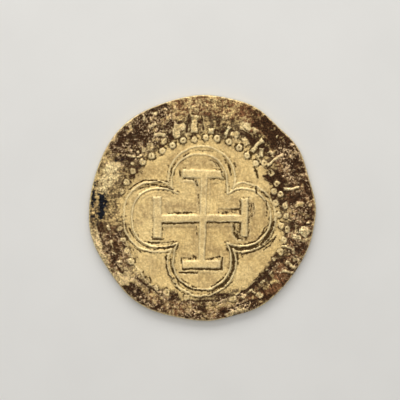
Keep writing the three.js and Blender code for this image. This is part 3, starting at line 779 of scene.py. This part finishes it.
def shield_face(relief, rng):
    """The underside: its heights over the field as it is read, and its masks."""
    plate = Plate(rng)
    top = relief.underside / MM
    outer = outline_distance(PLATE_X, PLATE_Y, shield_outline())
    rim = np.maximum(outer, -outer - SHIELD["line"])
    quarters = outer + SHIELD["line"] + SHIELD["gap"]
    for offset in (PLATE_X - SHIELD_CENTRE[0], PLATE_Y - SHIELD_CENTRE[1]):
        quarters = np.maximum(quarters, SHIELD["gap"] / 2 - np.abs(offset))
    for distance in (rim, quarters, outline_distance(PLATE_X, PLATE_Y, crown_outline())):
        plate.raise_to(EVERYWHERE, distance, top, SIDES["shield"])
    centre, count = UNDER_BEADS["centre"], UNDER_BEADS["count"]
    for i in range(count):
        left = rng.uniform(0.6, 1)
        place = on_clock(centre, 360 * i / count + rng.uniform(-0.6, 0.6), UNDER_BEADS["radius"])
        plate.bead(place, relief.bead_radius / MM, top * left)
    step = 360 / len(UNDER_ROW)
    inner, outer = UNDER_BAND
    for i, mark in enumerate(UNDER_ROW):
        if mark != "_":
            places = ((i + along, inner + up * (outer - inner)) for along, up in UNDER_STROKES[mark])
            path = [on_clock(centre, turn * step, distance) for turn, distance in places]
            plate.stroke(path, UNDER_STROKE_WIDTH, top * rng.uniform(0.6, 0.95))
    masks, dirt, grain = crust_masks(rng, np.clip(plate.height / RAISED["under"], 0, 1))
    for kind in CRUST:
        masks[kind] *= UNDER_CRUST
    height = roughen(plate.height, rng, relief.waves / MM)
    masks["hollow"], masks["edge"] = foot_and_edge(height, dirt)
    low_and_wide = blur(plate.height, UNDER_STAIN["reach"])
    masks["stain"] = UNDER_STAIN["strength"] * eased(*UNDER_STAIN["heights"], low_and_wide)
    height += relief.grit / MM * masks["grit"] * 0.5 * grain
    return np.minimum(height, top), masks


def sample(field, x, y):
    """A raster's values at some places, blended between its cells."""
    column, row = (x + PLATE_HALF) / CELL, (y + PLATE_HALF) / CELL
    c, r = np.floor(column).astype(int), np.floor(row).astype(int)
    u, v = column - c, row - r
    low = field[r, c] * (1 - u) + field[r, c + 1] * u
    high = field[r + 1, c] * (1 - u) + field[r + 1, c + 1] * u
    return low * (1 - v) + high * v


def rim_radius(angles):
    """The solid's outline as a radius for each angle, in millimetres."""
    mesh = frame["nodes"][NODE].data
    places = np.empty(len(mesh.vertices) * 3)
    mesh.vertices.foreach_get("co", places)
    x, y, z = places.reshape(-1, 3).T / MM
    reach, turns = np.hypot(x, y), np.arctan2(y, x)
    rim = np.abs(z - z[np.argmax(reach)]) < 0.01
    order = np.argsort(turns[rim])
    return np.interp(angles, turns[rim][order], reach[rim][order], period=2 * math.pi)


def disc(cells):
    """A disc of square cells: share of the radius, angle, the faces, and its edge as a loop."""
    line = np.linspace(-1, 1, cells + 1)
    a, b = np.meshgrid(line, line)
    wide = np.abs(a) >= np.abs(b)
    safe_a, safe_b = np.where(a == 0, 1, a), np.where(b == 0, 1, b)
    share = np.where(wide, a, b)
    turn = np.where(wide, b / safe_a * math.pi / 4, math.pi / 2 - a / safe_b * math.pi / 4)
    turn = np.where(share < 0, turn + math.pi, turn)
    turn = (turn + math.pi) % (2 * math.pi) - math.pi
    numbers = np.arange((cells + 1) ** 2).reshape(cells + 1, cells + 1)
    corners = (numbers[:-1, :-1], numbers[:-1, 1:], numbers[1:, 1:], numbers[1:, :-1])
    faces = np.stack([corner.ravel() for corner in corners], 1)
    loop = np.concatenate((numbers[0, :-1], numbers[:-1, -1], numbers[-1, :0:-1], numbers[:0:-1, 0]))
    return np.abs(share).ravel(), turn.ravel(), faces, loop


def face_mesh(cells, field_level, up, height, masks):
    """One face of the coin: its vertices, quads, edge loop and masks. `up` is -1 for the underside."""
    share, turn, faces, loop = disc(cells)
    near_rim = np.clip((1 - share) / RIM_CROWDING, 0, 1)
    share = np.where(near_rim < 1, 1 - RIM_CROWDING * near_rim**1.5, share)
    radius = rim_radius(turn)
    x, y = radius * share * np.cos(turn), radius * share * np.sin(turn)
    inward = radius * (1 - share)
    slope = RIM_SLOPE["drop"] * np.clip(1 - inward / RIM_SLOPE["width"], 0, 1) ** 2
    corner = 1 - np.sqrt(1 - np.clip(1 - inward / RIM_CORNER["width"], 0, 1) ** 2)
    relief = sample(height, x, up * y) * eased(0, RIM_FADE, inward)
    z = field_level + up * (relief - slope - RIM_CORNER["drop"] * corner)
    values = {name: sample(masks[name], x, up * y) for name in MASKS}
    # A painted highlight: a thin bright line along the rim, with the crust taken off it.
    line = RIM_HIGHLIGHT * 1.6, RIM_HIGHLIGHT * 0.4
    values["edge"] = np.maximum(values["edge"], eased(*line, inward))
    for name in CRUST:
        values[name] = values[name] * eased(*reversed(line), inward)
    if up < 0:
        faces = faces[:, ::-1]
    return np.stack((x, y, z), 1), faces, loop, turn[loop], values


def zipped(upper, upper_turns, under, under_turns):
    """Triangles between two closed loops that both run anticlockwise, from unlike counts of vertices."""
    def from_start(loop, turns):
        order = np.argsort(turns)
        return list(loop[order]), list(turns[order])

    upper, upper_turns = from_start(upper, upper_turns)
    under, under_turns = from_start(under, under_turns)
    triangles, i, j = [], 0, 0
    while i < len(upper) or j < len(under):
        next_up = upper_turns[i + 1] if i + 1 < len(upper) else upper_turns[0] + 2 * math.pi
        next_down = under_turns[j + 1] if j + 1 < len(under) else under_turns[0] + 2 * math.pi
        a, b = upper[i % len(upper)], under[j % len(under)]
        if i < len(upper) and (j >= len(under) or next_up <= next_down):
            triangles.append((b, upper[(i + 1) % len(upper)], a))
            i += 1
        else:
            triangles.append((b, under[(j + 1) % len(under)], a))
            j += 1
    return triangles


def coin_mesh(relief):
    """The whole coin as one closed mesh with its masks as attributes."""
    low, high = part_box(NODE)
    rng = np.random.default_rng(SEED)
    upper_field = high.z / MM - SOLID_RELIEF
    under_field = low.z / MM + relief.underside / MM
    upper = face_mesh(FACE_CELLS["upper"], upper_field, 1, *cross_face(relief, rng))
    under = face_mesh(FACE_CELLS["under"], under_field, -1, *shield_face(relief, rng))
    places, quads, loops, turns, masks = zip(upper, under)
    first = len(places[0])
    band = zipped(loops[0], turns[0], loops[1] + first, turns[1])
    faces = [*quads[0].tolist(), *(quads[1] + first).tolist(), *band]
    mesh = bpy.data.meshes.new("struck_coin")
    mesh.from_pydata(np.concatenate(places) * MM, [], faces)
    mesh.shade_smooth()
    for name in MASKS:
        values = np.concatenate([side[name] for side in masks]).astype(np.float32)
        mesh.attributes.new(name, "FLOAT", "POINT").data.foreach_set("value", values)
    mesh.validate()
    return mesh


class Graph:
    """A node tree, with short calls that add a node and give its outputs."""

    def __init__(self, tree):
        self.tree = tree

    def feed(self, socket, value):
        """Joins another node's output to a socket, or sets the socket's own value."""
        if isinstance(value, bpy.types.NodeSocket):
            self.tree.links.new(value, socket)
        else:
            socket.default_value = value

    def add(self, kind, settings=None, **sockets):
        """The outputs of a new node with some settings, whose inputs are values or other outputs."""
        node = self.tree.nodes.new("ShaderNode" + kind)
        for name, value in (settings or {}).items():
            setattr(node, name, value)
        for name, value in sockets.items():
            self.feed(node.inputs[int(name[1:]) if name[1:].isdigit() else name.replace("_", " ")], value)
        return node.outputs

    def maths(self, operation, first, second, clamp=False):
        settings = {"operation": operation, "use_clamp": clamp}
        return self.add("Math", settings, i0=first, i1=second)[0]

    def times(self, first, second, clamp=False):
        return self.maths("MULTIPLY", first, second, clamp)

    def mix(self, factor, first, second, blend="MIX"):
        settings = {"data_type": "RGBA", "blend_type": blend}
        return self.add("Mix", settings, i0=factor, i6=first, i7=second)[2]

    def ramp(self, value, low, high):
        """An eased step from 0 at low to 1 at high."""
        settings = {"interpolation_type": "SMOOTHSTEP"}
        return self.add("MapRange", settings, Value=value, From_Min=low, From_Max=high)["Result"]

    def place(self):
        return self.add("TexCoord")["Object"]

    def noise(self, place, scale, detail, roughness=0.5):
        sockets = {"Vector": place, "Scale": scale, "Detail": detail, "Roughness": roughness}
        return self.add("TexNoise", None, **sockets)["Fac"]

    def mottle(self, name):
        """Soft uneven patches of a kind that MOTTLES lists, from the shared group."""
        sockets = zip(("Size", "Detail", "Low", "High"), MOTTLES[name])
        return self.add("Group", {"node_tree": shared_group(mottle_group, "Mottle")}, **dict(sockets))["Mask"]

    def scratches(self, turn):
        """Fine broken lines, turned by some degrees, from the shared group."""
        settings = {"node_tree": shared_group(scratch_group, "Scratches")}
        return self.add("Group", settings, Turn=math.radians(turn))["Mask"]


def new_group(name, inputs, outputs):
    """A new node group with named sockets, colours where there is no default: its graph and its two ends."""
    tree = bpy.data.node_groups.new(name, "ShaderNodeTree")
    for socket, default in inputs.items():
        kind = "NodeSocketColor" if default is None else "NodeSocketFloat"
        made = tree.interface.new_socket(name=socket, in_out="INPUT", socket_type=kind)
        if default is not None:
            made.default_value = default
    for socket, kind in outputs.items():
        tree.interface.new_socket(name=socket, in_out="OUTPUT", socket_type=kind)
    return Graph(tree), tree.nodes.new("NodeGroupInput").outputs, tree.nodes.new("NodeGroupOutput").inputs


def shared_group(make, name):
    """A node group that is built once and then used by every material that needs it."""
    return bpy.data.node_groups.get(name) or make(name)


def mottle_group(name):
    """Soft uneven patches: a mask from 0 to 1 at a given size in millimetres."""
    inputs = {"Size": 1, "Detail": 4, "Low": 0.4, "High": 0.6}
    graph, given, result = new_group(name, inputs, {"Mask": "NodeSocketFloat"})
    scale = graph.maths("DIVIDE", 1 / MM, given["Size"])
    noise = graph.noise(graph.place(), scale, given["Detail"])
    graph.feed(result["Mask"], graph.ramp(noise, given["Low"], given["High"]))
    return graph.tree


def scratch_group(name):
    """Fine broken lines that run one way: a mask from 0 to 1, turned by an angle in radians."""
    graph, given, result = new_group(name, {"Turn": 0, "Spacing": 0.25}, {"Mask": "NodeSocketFloat"})
    turning = {"rotation_type": "Z_AXIS"}
    turned = graph.add("VectorRotate", turning, Vector=graph.place(), Angle=given["Turn"])["Vector"]
    drawn = graph.add("VectorMath", {"operation": "MULTIPLY"}, i0=turned, i1=SCRATCHED["stretch"])["Vector"]
    noise = graph.noise(drawn, graph.maths("DIVIDE", 1 / MM, given["Spacing"]), 2)
    graph.feed(result["Mask"], graph.ramp(noise, *SCRATCHED["edges"]))
    return graph.tree


def crust_group(name):
    """A broken layer of crust over a colour: dark lumps and lighter ones, with a thin film round them."""
    inputs = {"Under": None, "Density": 0, "Dark": None, "Light": None, "Size": 0.6, "Film": 0.4}
    graph, given, result = new_group(name, inputs, {"Color": "NodeSocketColor", "Mask": "NodeSocketFloat"})
    place, scale = graph.place(), graph.maths("DIVIDE", 1 / MM, given["Size"])
    lump = graph.noise(place, scale, 5, 0.82)
    lowered = graph.times(given["Density"], CRUST_NOISE["by_density"])
    over = graph.maths("SUBTRACT", lump, graph.maths("SUBTRACT", CRUST_NOISE["bare"], lowered))
    present = graph.times(given["Density"], 9, clamp=True)
    mask = graph.times(graph.ramp(over, *CRUST_NOISE["lumps"]), present)
    film = graph.times(graph.times(graph.ramp(over, *CRUST_NOISE["film"]), present), given["Film"])
    finer = graph.noise(place, graph.times(scale, CRUST_TONES["finer"]), 4, 0.6)
    toned = graph.ramp(finer, *CRUST_TONES["edges"])
    shade = graph.mix(toned, given["Dark"], given["Light"])
    filmed = graph.mix(film, given["Under"], given["Light"])
    graph.feed(result["Color"], graph.mix(mask, filmed, shade))
    graph.feed(result["Mask"], graph.maths("MAXIMUM", mask, film))
    return graph.tree


def brighter(colour, share):
    """A colour with a share of its own brightness added, or taken away below 0."""
    return tuple(min(1, value * (1 + share)) for value in colour[:3]) + (1.0,)


def new_material(name):
    """A new material, its graph and the inputs of its shader."""
    material = bpy.data.materials.new(name)
    material.use_nodes = True
    return material, Graph(material.node_tree), material.node_tree.nodes["Principled BSDF"].inputs


def coin_material(finish):
    """Worn gold, brightest on its edges from wear and a painted highlight, under dirt with painted shade,
    four kinds of crust, and gold specks painted as glints.
    """
    material, graph, shader = new_material("crusted_gold")
    masks = {name: graph.add("Attribute", {"attribute_name": name})["Fac"] for name in MASKS}
    fine = graph.mottle("fine")
    dull = graph.times(graph.maths("ADD", graph.mottle("broad"), fine), 0.5)
    colour = graph.mix(dull, tuple(finish.gold), tuple(finish.dull_gold))
    clouds = graph.times(graph.mottle("clouds"), SHOWS["clouds"])
    clouds = graph.maths("MAXIMUM", clouds, graph.times(masks["stain"], SHOWS["stain"]))
    pitted = graph.times(graph.times(graph.mottle("pits"), masks["grit"]), SHOWS["pits"])
    scratched = [graph.times(graph.scratches(turn), SHOWS["scratches"]) for turn in SCRATCH_TURNS]
    tones = [
        (graph.times(clouds, graph.mottle("broken")), finish.stain),
        *((share, finish.stain) for share in scratched),
        (graph.times(masks["clear"], SHOWS["clear"]), finish.edge),
        (pitted, finish.pit),
        # Gold rubbed bright on the high edges, with a painted highlight there and along the rim.
        (graph.times(masks["edge"], SHOWS["edge"]), finish.edge),
    ]
    for share, tone in tones:
        colour = graph.mix(share, colour, tuple(tone))
    layers = {"node_tree": crust_group("Crust")}
    covered = pitted
    for kind, size, film, depth in CRUST_LAYERS:
        base = tuple(getattr(finish, kind))
        layer = graph.add(
            "Group", layers, Under=colour, Density=masks[kind],
            Dark=base, Light=brighter(base, depth), Size=size, Film=film,
        )
        colour = layer["Color"]
        if kind == "flecks":
            covered = graph.times(covered, graph.maths("SUBTRACT", 1, layer["Mask"]))
        else:
            covered = graph.maths("MAXIMUM", covered, layer["Mask"])

    def by_grit(middle, more):
        return graph.maths("ADD", graph.times(masks["grit"], more), middle)

    speck = graph.maths("SUBTRACT", graph.mottle("specks"), 0.5)
    shade = graph.maths("ADD", graph.times(speck, by_grit(*SPECKLED)), 1)
    matt = {"To_Min": finish.gold_roughness, "To_Max": finish.crust_roughness}
    rough = graph.add("MapRange", None, Value=covered, **matt)["Result"]
    lift = graph.times(graph.mottle("grain"), by_grit(*GRAINED))
    depth = GRAIN_BUMP["depth"] * MM
    bump = graph.add("Bump", None, Strength=GRAIN_BUMP["strength"], Distance=depth, Height=lift)
    graph.feed(shader["Base Color"], graph.mix(1, colour, shade, "MULTIPLY"))
    graph.feed(shader["Metallic"], graph.maths("SUBTRACT", 1, covered, clamp=True))
    graph.feed(shader["Roughness"], graph.maths("ADD", rough, graph.times(fine, 0.08), clamp=True))
    graph.feed(shader["Normal"], bump["Normal"])
    shader["Specular IOR Level"].default_value = SPECULAR["coin"]
    return material


def floor_material(stage):
    """A plain pale matt floor with a trace of unevenness."""
    material, graph, shader = new_material("pale_floor")
    colour = graph.mix(graph.mottle("floor"), tuple(stage.floor), brighter(stage.floor, -0.03))
    graph.feed(shader["Base Color"], colour)
    shader["Roughness"].default_value = FLOOR_ROUGHNESS
    shader["Specular IOR Level"].default_value = SPECULAR["floor"]
    return material


def add_object(context, name, data):
    """A new object in the scene for a mesh, a light or a camera."""
    made = bpy.data.objects.new(name, data)
    context.scene.collection.objects.link(made)
    return made


def add_light(context, name, power):
    """A soft light that faces the coin."""
    place, (width, depth) = LIGHTS[name]
    light = bpy.data.lights.new(name, "AREA")
    light.shape, light.size, light.size_y, light.energy = "RECTANGLE", width, depth, power
    lamp = add_object(context, name, light)
    lamp.location = place
    lamp.rotation_euler = lamp.location.to_track_quat("Z", "Y").to_euler()


class COIN_OT_strike(bpy.types.Operator):
    """Strikes the coin and gives it its worn gold and crust"""

    bl_idname = "coin.strike"
    bl_label = "Strike the Coin"

    def execute(self, context):
        mesh = coin_mesh(context.scene.coin_relief)
        mesh.materials.append(coin_material(context.scene.coin_finish))
        coin = add_object(context, "struck_coin", mesh)
        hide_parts(NODE)
        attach(coin, "root")
        return {"FINISHED"}


class COIN_OT_stage(bpy.types.Operator):
    """Sets the pale floor, the soft lights and the camera above the coin"""

    bl_idname = "coin.stage"
    bl_label = "Set the Stage"

    def execute(self, context):
        stage = context.scene.coin_stage
        low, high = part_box(NODE)
        floor = bpy.data.meshes.new("pale_floor")
        corners = [(x * FLOOR_HALF, y * FLOOR_HALF, 0) for x, y in ((-1, -1), (1, -1), (1, 1), (-1, 1))]
        floor.from_pydata(corners, [], [(0, 1, 2, 3)])
        floor.materials.append(floor_material(stage))
        ground = add_object(context, "pale_floor", floor)
        ground.location.z = low.z
        add_light(context, "key", stage.key_power)
        add_light(context, "fill", stage.fill_power)
        world = bpy.data.worlds.new("soft_room")
        world.use_nodes = True
        background = world.node_tree.nodes["Background"].inputs
        background["Color"].default_value = (1, 1, 1, 1)
        background["Strength"].default_value = stage.sky
        context.scene.world = world
        context.scene.view_settings.view_transform = "Standard"
        camera = bpy.data.cameras.new("photo_camera")
        camera.sensor_width = SENSOR_WIDTH
        camera.lens = SENSOR_WIDTH * stage.camera_height / (PHOTO_WIDTH_PX * PIXEL_MM * MM)
        camera.clip_start, camera.clip_end = stage.camera_height / 50, stage.camera_height * 20
        eye = add_object(context, "photo_camera", camera)
        middle = PHOTO_WIDTH_PX / 2
        eye.location.x = (middle - COIN_MIDDLE_PX[0]) * PIXEL_MM * MM
        eye.location.y = (COIN_MIDDLE_PX[1] - middle) * PIXEL_MM * MM
        eye.location.z = high.z + stage.camera_height
        context.scene.camera = eye
        return {"FINISHED"}


class COIN_PT_panel(bpy.types.Panel):
    """Lists the coin's steps and settings"""

    bl_label = "Hammered Coin"
    bl_idname = "COIN_PT_panel"
    bl_space_type = "VIEW_3D"
    bl_region_type = "UI"
    bl_category = "Coin"

    def draw(self, context):
        for operator in OPERATORS:
            self.layout.operator(operator.bl_idname)
        for settings in SETTINGS:
            group, box = getattr(context.scene, settings), self.layout.box()
            for name in group.bl_rna.properties.keys():
                if name not in ("rna_type", "name"):
                    box.prop(group, name)


SETTINGS = {"coin_relief": CoinRelief, "coin_finish": CoinFinish, "coin_stage": CoinStage}
OPERATORS = (COIN_OT_strike, COIN_OT_stage)


def register():
    for kind in (*SETTINGS.values(), *OPERATORS, COIN_PT_panel):
        bpy.utils.register_class(kind)
    for name, kind in SETTINGS.items():
        setattr(bpy.types.Scene, name, bpy.props.PointerProperty(type=kind))


def unregister():
    for name in SETTINGS:
        delattr(bpy.types.Scene, name)
    for kind in reversed((*SETTINGS.values(), *OPERATORS, COIN_PT_panel)):
        bpy.utils.unregister_class(kind)


def main():
    register()
    bpy.ops.coin.strike()
    bpy.ops.coin.stage()


if __name__ == "__main__":
    main()
